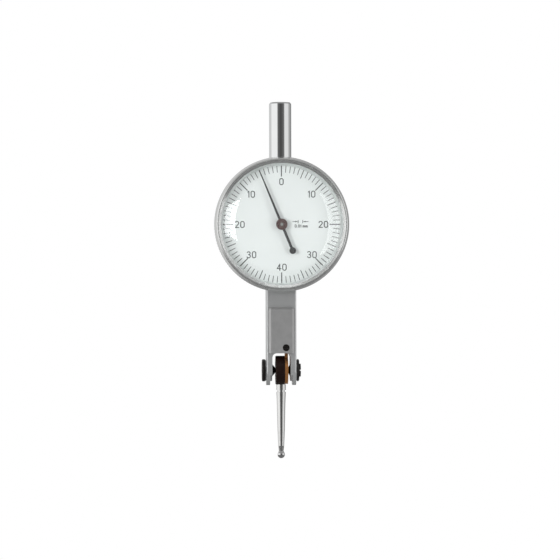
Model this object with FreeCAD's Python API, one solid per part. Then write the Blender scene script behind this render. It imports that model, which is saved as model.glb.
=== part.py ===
import FreeCAD, Part
import math
import os

# Lever-type dial test indicator, 0.01 mm, held by a 6 mm stem. All sizes are in millimetres.
# +Z runs up the stem, the dial faces -Y, and +X is to the right of the dial.
# The origin is on the stem's axis, where the stem leaves the case.

# ---- fits ----
RUN_GAP = 0.03           # radial, shafts that turn in their bearings
SEAT_GAP = 0.05          # pieces that sit in a recess
THREAD_GAP = 0.02        # screws in their tapped holes
FACE_GAP = 0.02          # flat faces that slide on each other

# ---- stem ----
STEM_RADIUS = 3.0
STEM_LENGTH = 16.0
STEM_CHAMFER_HEIGHT = 0.5
STEM_CHAMFER_WIDTH = 0.3
STEM_CROWN = 0.1
SPIGOT_RADIUS = 2.0
SPIGOT_LENGTH = 3.6
BOSS_RADIUS = 3.7
BOSS_STEP = 1.3          # height of the boss's wide part
BOSS_WALL = 0.9
BOSS_FLOOR = 0.6         # metal under the spigot's end

# ---- round case ----
CASE_RADIUS = 16.7
BOSS_STAND = 0.5         # the boss's top above the round case
CASE_WALL = 1.5
CASE_BACK_STEP = 0.8     # the round case's back behind the neck's back
LUG_RADIUS = 2.0
LUG_INSET = 1.8          # lug centres inside the cavity's wall
LUG_ANGLES = (45, 135, 225, 315)

# ---- neck and fork ----
NECK_WIDTH = 8.0
NECK_DEPTH = 8.0
NECK_FRONT_Y = -5.0
NECK_EDGE = 0.4
PIVOT_DROP = 39.2        # pivot axis below the dial's centre
FORK_GAP = 4.9
FORK_ROOT_RISE = 4.7     # fork root above the pivot axis
FORK_ROOT_ROUND = 1.2
EAR_TAB = 1.0            # thickness of each ear's rim
EAR_PAD_RADIUS = 2.9
EAR_RELIEF_DROP = 1.2
CHANNEL_FRONT_WALL = 1.2
CHANNEL_BACK_WALL = 1.2
WEB_HEIGHT = 3.0         # bar across the channel that the cover's screw holds to

# ---- neck cover ----
COVER_BELOW_BEZEL = 4.1
COVER_WIDTH = 6.9
COVER_THICKNESS = 1.0
COVER_BEVEL = 0.6
COVER_CORNER = 0.9
COVER_TONGUE = 0.9
COVER_SCREW_X = 1.2
COVER_SCREW_HEAD_RADIUS = 0.92
COVER_SCREW_HEAD_HEIGHT = 0.7
COVER_SCREW_SUNK = 0.08
COVER_SCREW_RADIUS = 0.5
COVER_SCREW_LENGTH = 1.9

# ---- bezel, crystal and dial ----
BEZEL_WALL = 1.25        # around the case's rim
BEZEL_REAR_GAP = 0.3     # bezel in front of the neck's face
BEZEL_OVERLAP = 1.1      # bezel over the case's rim
BEZEL_REAR_CHAMFER = 0.3
KNURL_WIDTH = 3.4
KNURL_COUNT = 144
KNURL_DEPTH = 0.22
BEZEL_NOSE_TAPER = 0.5   # the nose's radius less than the knurl's
BEZEL_NOSE_ROUND = 0.5
NOSE_STEPS = 6
APERTURE_CHAMFER = 0.7
LIP_THICKNESS = 1.6
DIAL_GAP = 0.2
DIAL_THICKNESS = 0.4
DIAL_HOLE_RADIUS = 0.9
REHAUT_HEIGHT = 2.8
REHAUT_WALL = 0.45
REHAUT_FOOT = 0.65       # the sloping ring's inner edge at the dial, inside the aperture's
CRYSTAL_THICKNESS = 0.8
CRYSTAL_EDGE_ROUND = 14.0
CRYSTAL_EDGE_SLOPE_DEG = 27
SPRING_WIRE_RADIUS = 0.25
SPRING_BACK = 0.45       # wire's centre in front of the bezel's rear edge
SPRING_SPLIT_DEG = 16

# ---- movement plate and back cover ----
PLATE_GAP = 0.3          # plate behind the dial
PLATE_THICKNESS = 0.9
PLATE_EDGE_GAP = 0.1
COVER_SEAT_STEP = 0.65   # width of the ledge that the back cover rests on
COVER_EDGE = 0.15
SCREW_HEAD_RADIUS = 1.2
SCREW_HEAD_HEIGHT = 0.55
SCREW_RADIUS = 0.7
SCREW_LENGTH = 3.0
SLOT_WIDTH = 0.35
SLOT_DEPTH = 0.28

# ---- gear train ----
SECTOR_MODULE = 0.15
CROSS_PINION_TEETH = 12
SECTOR_TEETH = 9
CROWN_MODULE = 0.1
CROWN_TEETH = 63
CENTRE_PINION_TEETH = 15
ADDENDUM = 0.9           # in modules
DEDENDUM = 1.1
TOOTH_TIP = 0.11         # half a tooth's width at its tip, as a share of the pitch
TOOTH_ROOT = 0.30
TOOTH_LENGTH = 0.6       # of the crown wheel's teeth, along its radius

# ---- pointer and its arbor ----
POINTER_REST_DEG = -22.5
POINTER_TIP_GAP = 0.1    # from the needle's tip to the rehaut ring's foot
POINTER_TIP_WIDTH = 0.25
POINTER_ROOT_WIDTH = 0.67
POINTER_TAIL = 7.6
POINTER_TAIL_WIDTH = 0.7
TAIL_DISC_RADIUS = 0.9
POINTER_THICKNESS = 0.2
POINTER_STAND = 1.4      # in front of the dial
HUB_DISC_RADIUS = 1.52
HUB_DISC_THICKNESS = 0.35
HUB_SLEEVE_RADIUS = 0.75
HUB_SLEEVE_LENGTH = 0.9
ARBOR_TIP_RADIUS = 0.42
ARBOR_TIP_STAND = 0.15
ARBOR_RADIUS = 0.35
REAR_PIVOT_RADIUS = 0.2
CENTRE_PINION_WIDTH = 0.9
CENTRE_JEWEL_RADIUS = 0.9
REAR_JEWEL_RADIUS = 0.42
COLLET_RADIUS = 0.8
COLLET_SHARE = 0.5       # of the space between the movement plate and the pinion
HAIRSPRING_RADIUS = 3.3
HAIRSPRING_TURNS = 4.5
HAIRSPRING_THICKNESS = 0.07
HAIRSPRING_HEIGHT = 0.3
HAIRSPRING_STEPS = 18    # to a turn
STUD_RADIUS = 0.4
STUD_DEG = 60

# ---- cross arbor ----
CROSS_ARBOR_RADIUS = 0.4
CROSS_PIVOT_RADIUS = 0.22
CROSS_PINION_X = 1.75
CROSS_PINION_WIDTH = 0.7
CROWN_WEB = 0.4
CROWN_RIM = 0.28         # metal between the web and the teeth's roots
CROWN_HUB_RADIUS = 0.95
CROWN_HUB_LENGTH = 0.8
CROWN_HOLES = 5
CROWN_HOLE_RADIUS = 0.48
CROWN_HOLE_ORBIT = 1.85
SIDE_COCK_X = 3.8
SIDE_COCK_WALL = 0.8
SIDE_COCK_HALF = 1.6
SIDE_COCK_FOOT = 2.8
SIDE_COCK_FOOT_THICKNESS = 0.8
SIDE_COCK_REACH = 1.2    # past the cross arbor's axis
CROSS_JEWEL_RADIUS = 0.6
CENTRE_COCK_GAP = 0.6    # behind the centre pinion
CENTRE_COCK_THICKNESS = 0.8
CENTRE_COCK_LEFT = 0.5
CENTRE_COCK_RIGHT = 1.6
CENTRE_COCK_BELOW = 0.8
CENTRE_COCK_TOP = 7.6
CENTRE_COCK_FOOT = 3.0
COCK_SCREW_HEAD_RADIUS = 0.8
COCK_SCREW_HEAD_HEIGHT = 0.4
COCK_SCREW_RADIUS = 0.5
COCK_SCREW_GRIP = 0.7    # thread in the movement plate

# ---- lever ----
LEVER_LEFT_X = 1.0
LEVER_THICKNESS = 0.85
LEVER_DISC_RADIUS = 3.7
LEVER_WIDTH = 2.8
LEVER_TOP_WIDTH = 2.4
LEVER_TOP_DROP = 4.5     # lever's end below the dial's centre
SECTOR_THICKNESS = 0.5
SECTOR_FOOT_DROP = 9.5
SECTOR_FOOT_WIDTH = 2.2
SECTOR_SHOULDER = 1.6    # solid part under the teeth
RIVET_RADIUS = 0.35
RIVET_HEAD_RADIUS = 0.6
RIVET_HEAD_HEIGHT = 0.22
RIVET_DROPS = (5.6, 8.2)
LEVER_HUB_RADIUS = 1.0
HUB_FLANGE_RADIUS = 1.75
HUB_FLANGE_THICKNESS = 0.4
WASHER_THICKNESS = 0.25
LIMIT_PIN_RADIUS = 0.4
LIMIT_PIN_RISE = 15.2    # above the pivot axis
LIMIT_PIN_PLAY = 0.06
LIMIT_PIN_GRIP = 1.1
SWING_DEG = 1.2          # to each side

# ---- stylus and its holder ----
HOLDER_RADIUS = 3.9
HOLDER_LEFT_X = -1.5
HOLDER_FLAT_DROP = 3.8   # flat that the stylus's collar seats on, below the pivot axis
HOLDER_EDGE = 0.15
STYLUS_THREAD_RADIUS = 0.8
STYLUS_THREAD_LENGTH = 2.4
COLLAR_RADIUS = 1.3
COLLAR_LENGTH = 1.55
GROOVE_RADIUS = 1.0
GROOVE_LENGTH = 0.45
SHANK_PROFILE = ((1.3, 0.05), (1.22, 1.6), (1.13, 4.0), (1.0, 10.3), (0.8, 14.6), (0.66, 16.0))
SHANK_END_DROP = 16.25   # shank's end below the groove
SHANK_FLARE_RADIUS = 0.8
BALL_RADIUS = 1.0
BALL_DROP = 22.75        # ball's centre below the pivot axis

# ---- pivot screws ----
PIVOT_SCREW_RADIUS = 1.75
CONE_NECK_RADIUS = 0.55
CONE_POINT_RADIUS = 0.12
CONE_POINT_LENGTH = 0.45
CONE_SEAT_GAP = 0.04
LOCK_DISC_RADIUS = 3.0
LOCK_DISC_LEFT = 0.95
LOCK_DISC_RIGHT = 0.65
LOCK_DISC_EDGE = 0.2
PIVOT_SCREW_STAND = 0.45
PIVOT_WASHER_RADIUS = 2.8
PIVOT_WASHER_THICKNESS = 0.2

# ---- places worked out from the sizes ----
DIAL_Z = -(CASE_RADIUS + BOSS_STAND)
PIVOT_Z = DIAL_Z - PIVOT_DROP
FORK_ROOT_Z = PIVOT_Z + FORK_ROOT_RISE
NECK_BACK_Y = NECK_FRONT_Y + NECK_DEPTH
PIVOT_Y = (NECK_FRONT_Y + NECK_BACK_Y) / 2
CASE_BACK_Y = NECK_BACK_Y + CASE_BACK_STEP
BEZEL_REAR_Y = NECK_FRONT_Y - BEZEL_REAR_GAP
CASE_FRONT_Y = BEZEL_REAR_Y - BEZEL_OVERLAP
DIAL_BACK_Y = CASE_FRONT_Y - DIAL_GAP
DIAL_FACE_Y = DIAL_BACK_Y - DIAL_THICKNESS
CRYSTAL_BACK_Y = DIAL_FACE_Y - REHAUT_HEIGHT
CRYSTAL_FRONT_Y = CRYSTAL_BACK_Y - CRYSTAL_THICKNESS
BEZEL_FRONT_Y = CRYSTAL_FRONT_Y - LIP_THICKNESS
PLATE_FRONT_Y = DIAL_BACK_Y + PLATE_GAP
PLATE_BACK_Y = PLATE_FRONT_Y + PLATE_THICKNESS
CAVITY_RADIUS = CASE_RADIUS - CASE_WALL
LUG_ORBIT = CAVITY_RADIUS - LUG_INSET
BEZEL_BORE_RADIUS = CASE_RADIUS + SEAT_GAP
BEZEL_RADIUS = BEZEL_BORE_RADIUS + BEZEL_WALL
BEZEL_NOSE_RADIUS = BEZEL_RADIUS - BEZEL_NOSE_TAPER
APERTURE_RADIUS = CASE_RADIUS - REHAUT_WALL
REHAUT_FOOT_RADIUS = APERTURE_RADIUS - REHAUT_FOOT
POINTER_LENGTH = REHAUT_FOOT_RADIUS - POINTER_TIP_GAP
CHANNEL_FRONT_Y = NECK_FRONT_Y + CHANNEL_FRONT_WALL
CHANNEL_BACK_Y = NECK_BACK_Y - CHANNEL_BACK_WALL
COVER_TOP_Z = DIAL_Z - BEZEL_RADIUS - COVER_BELOW_BEZEL
WEB_TOP_Z = FORK_ROOT_Z + WEB_HEIGHT
WINDOW_TOP_Z = COVER_TOP_Z - (COVER_WIDTH - FORK_GAP) / 2
CENTRE_PINION_RADIUS = CROWN_MODULE * CENTRE_PINION_TEETH / 2
CROWN_RADIUS = CROWN_MODULE * CROWN_TEETH / 2
CROSS_PINION_RADIUS = SECTOR_MODULE * CROSS_PINION_TEETH / 2
SECTOR_RADIUS = PIVOT_DROP - CROSS_PINION_RADIUS
CENTRE_PINION_MID_Y = PIVOT_Y - CROWN_RADIUS
CENTRE_PINION_BACK_Y = CENTRE_PINION_MID_Y + CENTRE_PINION_WIDTH / 2
CENTRE_COCK_Y = CENTRE_PINION_BACK_Y + CENTRE_COCK_GAP
LEVER_RIGHT_X = LEVER_LEFT_X + LEVER_THICKNESS
EAR_INNER_X = FORK_GAP / 2
EAR_OUTER_X = NECK_WIDTH / 2
HUB_LEFT_X = HOLDER_LEFT_X + SEAT_GAP
WASHER_X = HUB_LEFT_X + HUB_FLANGE_THICKNESS
HOLDER_FLOOR_X = WASHER_X + WASHER_THICKNESS + FACE_GAP
SPRING_Y = BEZEL_REAR_Y - SPRING_BACK
CENTRE_COCK_SCREW_Z = DIAL_Z + CENTRE_COCK_TOP - CENTRE_COCK_FOOT / 2


# ---- shapes in general ----
def place(axis, along, a, b):
    """A point or direction: along the axis, and the two other coordinates in X, Y, Z order."""
    return {"x": FreeCAD.Vector(along, a, b), "y": FreeCAD.Vector(a, along, b),
            "z": FreeCAD.Vector(a, b, along)}[axis]


def upright(solid):
    """The solid with its faces pointing outwards."""
    return solid if solid.Volume > 0 else solid.reversed()


def rod(axis, radius, start, end, a=0, b=0):
    low, high = min(start, end), max(start, end)
    return Part.makeCylinder(radius, high - low, place(axis, low, a, b), place(axis, 1, 0, 0))


def tube(axis, outer, inner, start, end, a=0, b=0):
    return rod(axis, outer, start, end, a, b).cut(rod(axis, inner, start, end, a, b))


def box(x_range, y_range, z_range):
    low, high = zip(*(sorted(r) for r in (x_range, y_range, z_range)))
    return Part.makeBox(*(h - l for l, h in zip(low, high)), FreeCAD.Vector(*low))


def prism(outline, axis, start, end):
    """A straight prism. The outline gives the two coordinates across the axis."""
    ring = [place(axis, start, a, b) for a, b in outline]
    face = Part.Face(Part.makePolygon(ring + ring[:1]))
    return upright(face.extrude(place(axis, end - start, 0, 0)))


def turned(profile, axis, a=0, b=0):
    """A solid of revolution. The profile is a list of (radius, position along the axis)."""
    ring = [place(axis, along, a + radius, b) for radius, along in profile]
    face = Part.Face(Part.makePolygon(ring + ring[:1]))
    return upright(face.revolve(place(axis, 0, a, b), place(axis, 1, 0, 0), 360))


def on_circle(radius, degrees, a=0, b=0):
    turn = math.radians(degrees)
    return a + radius * math.cos(turn), b + radius * math.sin(turn)


def cut_all(solid, *tools):
    return solid.cut(Part.makeCompound(list(tools)))


def edges_along(solid, axis):
    """The solid's straight edges that run along the axis."""
    way = place(axis, 1, 0, 0)
    return [e for e in solid.Edges
            if len(e.Vertexes) == 2 and (e.Vertexes[1].Point - e.Vertexes[0].Point).cross(way).Length < 1e-6]


# ---- screws ----
def screw_body(axis, face, inward, head_radius, head_height, radius, length, a, b, gap=0.0, sunk=False):
    """A screw, or its hole if a gap is given. A sunk head tapers from the face to the shank."""
    head_end = radius + gap if sunk else head_radius + gap
    profile = [(0, 0), (head_radius + gap, 0), (head_end, head_height), (radius + gap, head_height),
               (radius + gap, length + gap), (0, length + gap)]
    kept = [p for i, p in enumerate(profile) if p != profile[i - 1]]
    return turned([(r, face + inward * t) for r, t in kept], axis, a, b)


def slotted(solid, axis, face, inward, reach, a, b):
    """The screw with a driver's slot in the face, along the first coordinate across the axis."""
    start, end = place(axis, face, a - reach, b - SLOT_WIDTH / 2), place(
        axis, face + inward * SLOT_DEPTH, a + reach, b + SLOT_WIDTH / 2)
    return solid.cut(box(*((getattr(start, k), getattr(end, k)) for k in "xyz")))


def case_screw(face, inward, a, b, gap=0.0):
    return screw_body("y", face, inward, SCREW_HEAD_RADIUS, SCREW_HEAD_HEIGHT, SCREW_RADIUS,
                      SCREW_LENGTH, a, b, gap, sunk=True)


def lug_places():
    return [on_circle(LUG_ORBIT, angle, 0, DIAL_Z) for angle in LUG_ANGLES]


def case_screws(face, inward):
    return Part.makeCompound([
        slotted(case_screw(face, inward, a, b), "y", face, inward, SCREW_HEAD_RADIUS, a, b)
        for a, b in lug_places()])


# ---- case ----
def stem():
    return turned([(0, -SPIGOT_LENGTH), (SPIGOT_RADIUS, -SPIGOT_LENGTH), (SPIGOT_RADIUS, 0),
                   (STEM_RADIUS, 0), (STEM_RADIUS, STEM_LENGTH - STEM_CHAMFER_HEIGHT),
                   (STEM_RADIUS - STEM_CHAMFER_WIDTH, STEM_LENGTH - STEM_CROWN), (0, STEM_LENGTH)], "z")


def neck_blank():
    """The neck with rounded long edges and a rounded lower end."""
    half = EAR_OUTER_X
    blank = box((-half, half), (NECK_FRONT_Y, NECK_BACK_Y),
                (DIAL_Z, PIVOT_Z - NECK_DEPTH / 2))
    blank = blank.makeFillet(NECK_EDGE, edges_along(blank, "z"))
    above = box((-half, half), (NECK_FRONT_Y, NECK_BACK_Y), (DIAL_Z, PIVOT_Z))
    end = rod("x", NECK_DEPTH / 2, -half, half, PIVOT_Y, PIVOT_Z)
    return blank.common(above.fuse(end))


def fork_space():
    """The gap between the fork's ears, with rounded corners at its root."""
    bottom = PIVOT_Z - NECK_DEPTH
    gap = box((-EAR_INNER_X, EAR_INNER_X), (NECK_FRONT_Y - 1, NECK_BACK_Y + 1), (bottom, FORK_ROOT_Z))
    top_edges = [e for e in edges_along(gap, "y") if e.Vertexes[0].Z > PIVOT_Z]
    return gap.makeFillet(FORK_ROOT_ROUND, top_edges)


def ear_relief():
    """Each ear is thinner on its inside, around the pivot's lower half."""
    inner = EAR_OUTER_X - EAR_TAB
    relief = box((-inner, inner), (NECK_FRONT_Y, NECK_BACK_Y),
                 (PIVOT_Z - NECK_DEPTH / 2, PIVOT_Z - EAR_RELIEF_DROP))
    return relief.cut(rod("x", EAR_PAD_RADIUS, -inner, inner, PIVOT_Y, PIVOT_Z))


def lever_channel():
    """The channel that the lever swings in, and the window that the neck cover closes."""
    sides = (-EAR_INNER_X, EAR_INNER_X)
    channel = box(sides, (CHANNEL_FRONT_Y, CHANNEL_BACK_Y), (FORK_ROOT_Z - 2 * FORK_ROOT_ROUND, DIAL_Z))
    window = box(sides, (NECK_FRONT_Y, CHANNEL_FRONT_Y), (WEB_TOP_Z, WINDOW_TOP_Z))
    return channel.fuse(window)


def spring_groove():
    reach = SPRING_WIRE_RADIUS + RUN_GAP
    return tube("y", CASE_RADIUS + 1, CASE_RADIUS - reach, SPRING_Y - reach, SPRING_Y + reach, 0, DIAL_Z)


def case_lugs():
    """Posts at the case's wall that carry the movement plate in front and the back cover behind."""
    posts = [rod("y", LUG_RADIUS, PLATE_BACK_Y, NECK_BACK_Y, a, b) for a, b in lug_places()]
    inside = rod("y", CASE_RADIUS - CASE_WALL / 2, PLATE_BACK_Y, NECK_BACK_Y, 0, DIAL_Z)
    return Part.makeCompound(posts).common(inside)


def limit_pin_offset():
    """Each pin's distance from the middle plane of the lever, in Y."""
    share = LIMIT_PIN_RISE / (PIVOT_DROP - LEVER_TOP_DROP)
    half_width = (LEVER_WIDTH + share * (LEVER_TOP_WIDTH - LEVER_WIDTH)) / 2
    travel = LIMIT_PIN_RISE * math.sin(math.radians(SWING_DEG))
    return half_width + travel + LIMIT_PIN_RADIUS + LIMIT_PIN_PLAY


def limit_pin_rods(gap=0.0):
    end = EAR_INNER_X + LIMIT_PIN_GRIP
    return [rod("x", LIMIT_PIN_RADIUS + gap, LEVER_LEFT_X - SEAT_GAP, end + gap,
                PIVOT_Y + side * limit_pin_offset(), PIVOT_Z + LIMIT_PIN_RISE) for side in (-1, 1)]


def cover_screw_form(gap=0.0):
    return screw_body("y", NECK_FRONT_Y - COVER_THICKNESS + COVER_SCREW_SUNK, 1, COVER_SCREW_HEAD_RADIUS,
                      COVER_SCREW_HEAD_HEIGHT, COVER_SCREW_RADIUS, COVER_SCREW_LENGTH,
                      COVER_SCREW_X, (FORK_ROOT_Z + WEB_TOP_Z) / 2, gap)


def case_body():
    ring = rod("y", CASE_RADIUS, CASE_FRONT_Y, CASE_BACK_Y, 0, DIAL_Z)
    wide_boss = rod("z", BOSS_RADIUS, -BOSS_STEP, 0)
    body = ring.fuse(neck_blank()).fuse(wide_boss)
    cavity = rod("y", CAVITY_RADIUS, CASE_FRONT_Y, NECK_BACK_Y, 0, DIAL_Z)
    seat = rod("y", CAVITY_RADIUS + COVER_SEAT_STEP, NECK_BACK_Y, CASE_BACK_Y, 0, DIAL_Z)
    body = body.cut(cavity).cut(seat).cut(lever_channel()).cut(fork_space()).cut(ear_relief())
    deep_boss = rod("z", SPIGOT_RADIUS + BOSS_WALL, -SPIGOT_LENGTH - BOSS_FLOOR, -BOSS_STEP)
    body = body.fuse(deep_boss).fuse(case_lugs()).cut(spring_groove())
    holes = [rod("z", SPIGOT_RADIUS + THREAD_GAP, -SPIGOT_LENGTH - THREAD_GAP, 0),
             rod("x", PIVOT_SCREW_RADIUS + THREAD_GAP, -EAR_OUTER_X, EAR_OUTER_X, PIVOT_Y, PIVOT_Z),
             cover_screw_form(THREAD_GAP)]
    for a, b in lug_places():
        holes.append(case_screw(PLATE_FRONT_Y, 1, a, b, THREAD_GAP))
        holes.append(case_screw(CASE_BACK_Y, -1, a, b, THREAD_GAP))
    return cut_all(body, *holes, *limit_pin_rods(THREAD_GAP)).removeSplitter()


def back_cover():
    radius = CAVITY_RADIUS + COVER_SEAT_STEP - SEAT_GAP
    disc = turned([(0, NECK_BACK_Y), (radius, NECK_BACK_Y), (radius, CASE_BACK_Y - COVER_EDGE),
                   (radius - COVER_EDGE, CASE_BACK_Y), (0, CASE_BACK_Y)], "y", 0, DIAL_Z)
    return cut_all(disc, *(case_screw(CASE_BACK_Y, -1, a, b, THREAD_GAP) for a, b in lug_places()))


def neck_cover():
    """A raised plate with bevelled edges, and a tongue that fits the window behind it."""
    half, front = COVER_WIDTH / 2, NECK_FRONT_Y - COVER_THICKNESS
    plate = box((-half, half), (front, NECK_FRONT_Y), (FORK_ROOT_Z, COVER_TOP_Z))
    corners = [e for e in edges_along(plate, "y") if e.Vertexes[0].Z > WEB_TOP_Z]
    plate = plate.makeFillet(COVER_CORNER, corners)
    outline = [e for e in plate.Edges
               if e.BoundBox.YMax < front + 1e-6 and e.BoundBox.ZMax > FORK_ROOT_Z + 1e-6]
    plate = plate.makeChamfer(COVER_BEVEL, outline)
    side = EAR_INNER_X - SEAT_GAP
    tongue = box((-side, side), (NECK_FRONT_Y, NECK_FRONT_Y + COVER_TONGUE),
                 (WEB_TOP_Z + SEAT_GAP, WINDOW_TOP_Z - SEAT_GAP))
    opening = rod("y", COVER_SCREW_HEAD_RADIUS + THREAD_GAP, front, front + COVER_SCREW_SUNK,
                  COVER_SCREW_X, (FORK_ROOT_Z + WEB_TOP_Z) / 2)
    return cut_all(plate.fuse(tongue), cover_screw_form(THREAD_GAP), opening).removeSplitter()


def cover_screw():
    face = NECK_FRONT_Y - COVER_THICKNESS + COVER_SCREW_SUNK
    return slotted(cover_screw_form(), "y", face, 1, COVER_SCREW_HEAD_RADIUS, COVER_SCREW_X,
                   (FORK_ROOT_Z + WEB_TOP_Z) / 2)


def limit_pins():
    return Part.makeCompound(limit_pin_rods())


# ---- bezel ----
def knurl_cutter(front, rear):
    """What is left of a ring around a serrated outline: cutting it leaves the straight knurl."""
    pitch = 360 / KNURL_COUNT
    outline = []
    for i in range(KNURL_COUNT):
        outline.append(on_circle(BEZEL_RADIUS - KNURL_DEPTH, pitch * i, 0, DIAL_Z))
        outline.append(on_circle(BEZEL_RADIUS, pitch * (i + 0.3), 0, DIAL_Z))
        outline.append(on_circle(BEZEL_RADIUS, pitch * (i + 0.7), 0, DIAL_Z))
    ring = rod("y", BEZEL_RADIUS + 1, front, rear, 0, DIAL_Z)
    return ring.cut(prism(outline, "y", front - 1, rear + 1))


def nose_points():
    """The rounding of the bezel's nose, from its side to its crest."""
    middle = (BEZEL_NOSE_RADIUS - BEZEL_NOSE_ROUND, BEZEL_FRONT_Y + BEZEL_NOSE_ROUND)
    return [on_circle(BEZEL_NOSE_ROUND, -90 * i / NOSE_STEPS, *middle) for i in range(NOSE_STEPS + 1)]


def bezel():
    bore = BEZEL_BORE_RADIUS
    knurl_rear = BEZEL_REAR_Y - BEZEL_REAR_CHAMFER
    knurl_front = knurl_rear - KNURL_WIDTH
    groove = SPRING_WIRE_RADIUS + SEAT_GAP
    profile = [
        (bore, BEZEL_REAR_Y), (BEZEL_RADIUS - BEZEL_REAR_CHAMFER, BEZEL_REAR_Y), (BEZEL_RADIUS, knurl_rear),
        (BEZEL_RADIUS, knurl_front), *nose_points(),
        (APERTURE_RADIUS + APERTURE_CHAMFER, BEZEL_FRONT_Y),
        (APERTURE_RADIUS, BEZEL_FRONT_Y + APERTURE_CHAMFER),
        (APERTURE_RADIUS, CRYSTAL_FRONT_Y), (bore, CRYSTAL_FRONT_Y), (bore, SPRING_Y - groove),
        (CASE_RADIUS + groove, SPRING_Y - groove), (CASE_RADIUS + groove, SPRING_Y + groove),
        (bore, SPRING_Y + groove)]
    blank = turned(profile, "y", 0, DIAL_Z)
    return blank.cut(knurl_cutter(knurl_front, knurl_rear + BEZEL_REAR_CHAMFER)).removeSplitter()


def bezel_spring():
    """A split wire ring, half in the case's groove and half in the bezel's."""
    middle = FreeCAD.Vector(0, SPRING_Y, DIAL_Z)
    ring = Part.makeTorus(CASE_RADIUS, SPRING_WIRE_RADIUS, middle, FreeCAD.Vector(0, 1, 0), 0, 360,
                          360 - SPRING_SPLIT_DEG)
    ring.rotate(middle, FreeCAD.Vector(0, 1, 0), -90 + SPRING_SPLIT_DEG / 2)
    return ring


def crystal():
    """A clear disc, flat in the middle, whose edge curves back to a thin flange."""
    slope = math.radians(CRYSTAL_EDGE_SLOPE_DEG)
    edge = APERTURE_RADIUS - SEAT_GAP
    flat = edge - CRYSTAL_EDGE_ROUND * math.sin(slope)
    halfway = flat + CRYSTAL_EDGE_ROUND * math.sin(slope / 2)
    top = CRYSTAL_FRONT_Y - CRYSTAL_EDGE_ROUND * (1 - math.cos(slope))
    bent = top + CRYSTAL_EDGE_ROUND * (1 - math.cos(slope / 2))
    front = [(0, top), (flat, top), (halfway, bent), (edge, CRYSTAL_FRONT_Y), (CASE_RADIUS, CRYSTAL_FRONT_Y)]
    near = [place("y", y, radius, DIAL_Z) for radius, y in front]
    far = [place("y", y + CRYSTAL_THICKNESS, radius, DIAL_Z) for radius, y in front]
    edges = [Part.makeLine(near[-1], far[-1]), Part.makeLine(far[0], near[0])]
    for points in (near, far):
        edges += [Part.makeLine(points[0], points[1]), Part.Arc(*points[1:4]).toShape(),
                  Part.makeLine(points[3], points[4])]
    section = Part.Face(Part.Wire(Part.__sortEdges__(edges)))
    return upright(section.revolve(place("y", 0, 0, DIAL_Z), place("y", 1, 0, 0), 360))


def rehaut_ring():
    """The ring between dial and crystal: its inner face widens towards the crystal."""
    return turned([(CASE_RADIUS, CRYSTAL_BACK_Y), (APERTURE_RADIUS, CRYSTAL_BACK_Y),
                   (REHAUT_FOOT_RADIUS, DIAL_FACE_Y), (CASE_RADIUS, DIAL_FACE_Y)], "y", 0, DIAL_Z)


def dial_plate():
    return tube("y", CASE_RADIUS, DIAL_HOLE_RADIUS, DIAL_FACE_Y, DIAL_BACK_Y, 0, DIAL_Z)


# ---- movement ----
def side_cock_screw_x():
    return SIDE_COCK_X + SIDE_COCK_WALL + SIDE_COCK_FOOT / 2


def cock_screw_form(face, x, z, gap=0.0):
    """A screw from behind, through a cock's foot into the movement plate."""
    length = face - PLATE_BACK_Y + COCK_SCREW_GRIP
    return screw_body("y", face, -1, COCK_SCREW_HEAD_RADIUS, COCK_SCREW_HEAD_HEIGHT, COCK_SCREW_RADIUS,
                      length, x, z, gap)


def cock_screw_forms(gap=0.0):
    side_face = PLATE_BACK_Y + SIDE_COCK_FOOT_THICKNESS
    reach = side_cock_screw_x()
    spread = SIDE_COCK_HALF + COCK_SCREW_HEAD_RADIUS
    middle_x = (CENTRE_COCK_RIGHT - CENTRE_COCK_LEFT) / 2
    spots = [(CENTRE_COCK_Y + CENTRE_COCK_THICKNESS, middle_x, CENTRE_COCK_SCREW_Z)]
    spots += [(side_face, side * reach, DIAL_Z + up * spread / 2) for side in (-1, 1) for up in (-1, 1)]
    return [(cock_screw_form(face, x, z, gap), face, x, z) for face, x, z in spots]


def cock_screws():
    return Part.makeCompound([slotted(form, "y", face, -1, COCK_SCREW_HEAD_RADIUS, x, z)
                              for form, face, x, z in cock_screw_forms()])


def movement_plate():
    disc = rod("y", CAVITY_RADIUS - PLATE_EDGE_GAP, PLATE_FRONT_Y, PLATE_BACK_Y, 0, DIAL_Z)
    holes = [case_screw(PLATE_FRONT_Y, 1, a, b, THREAD_GAP) for a, b in lug_places()]
    holes += [form for form, _, _, _ in cock_screw_forms(THREAD_GAP)]
    holes.append(rod("y", CENTRE_JEWEL_RADIUS, PLATE_FRONT_Y, PLATE_BACK_Y, 0, DIAL_Z))
    return cut_all(disc, *holes)


def centre_cock():
    """The bridge that carries the rear end of the pointer's arbor."""
    x_range = (-CENTRE_COCK_LEFT, CENTRE_COCK_RIGHT)
    rear = CENTRE_COCK_Y + CENTRE_COCK_THICKNESS
    arm = box(x_range, (CENTRE_COCK_Y, rear), (DIAL_Z - CENTRE_COCK_BELOW, DIAL_Z + CENTRE_COCK_TOP))
    foot = box(x_range, (PLATE_BACK_Y, rear),
               (DIAL_Z + CENTRE_COCK_TOP - CENTRE_COCK_FOOT, DIAL_Z + CENTRE_COCK_TOP))
    forms = cock_screw_forms(THREAD_GAP)
    return cut_all(arm.fuse(foot), rod("y", REAR_JEWEL_RADIUS, CENTRE_COCK_Y, rear, 0, DIAL_Z), forms[0][0])


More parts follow.
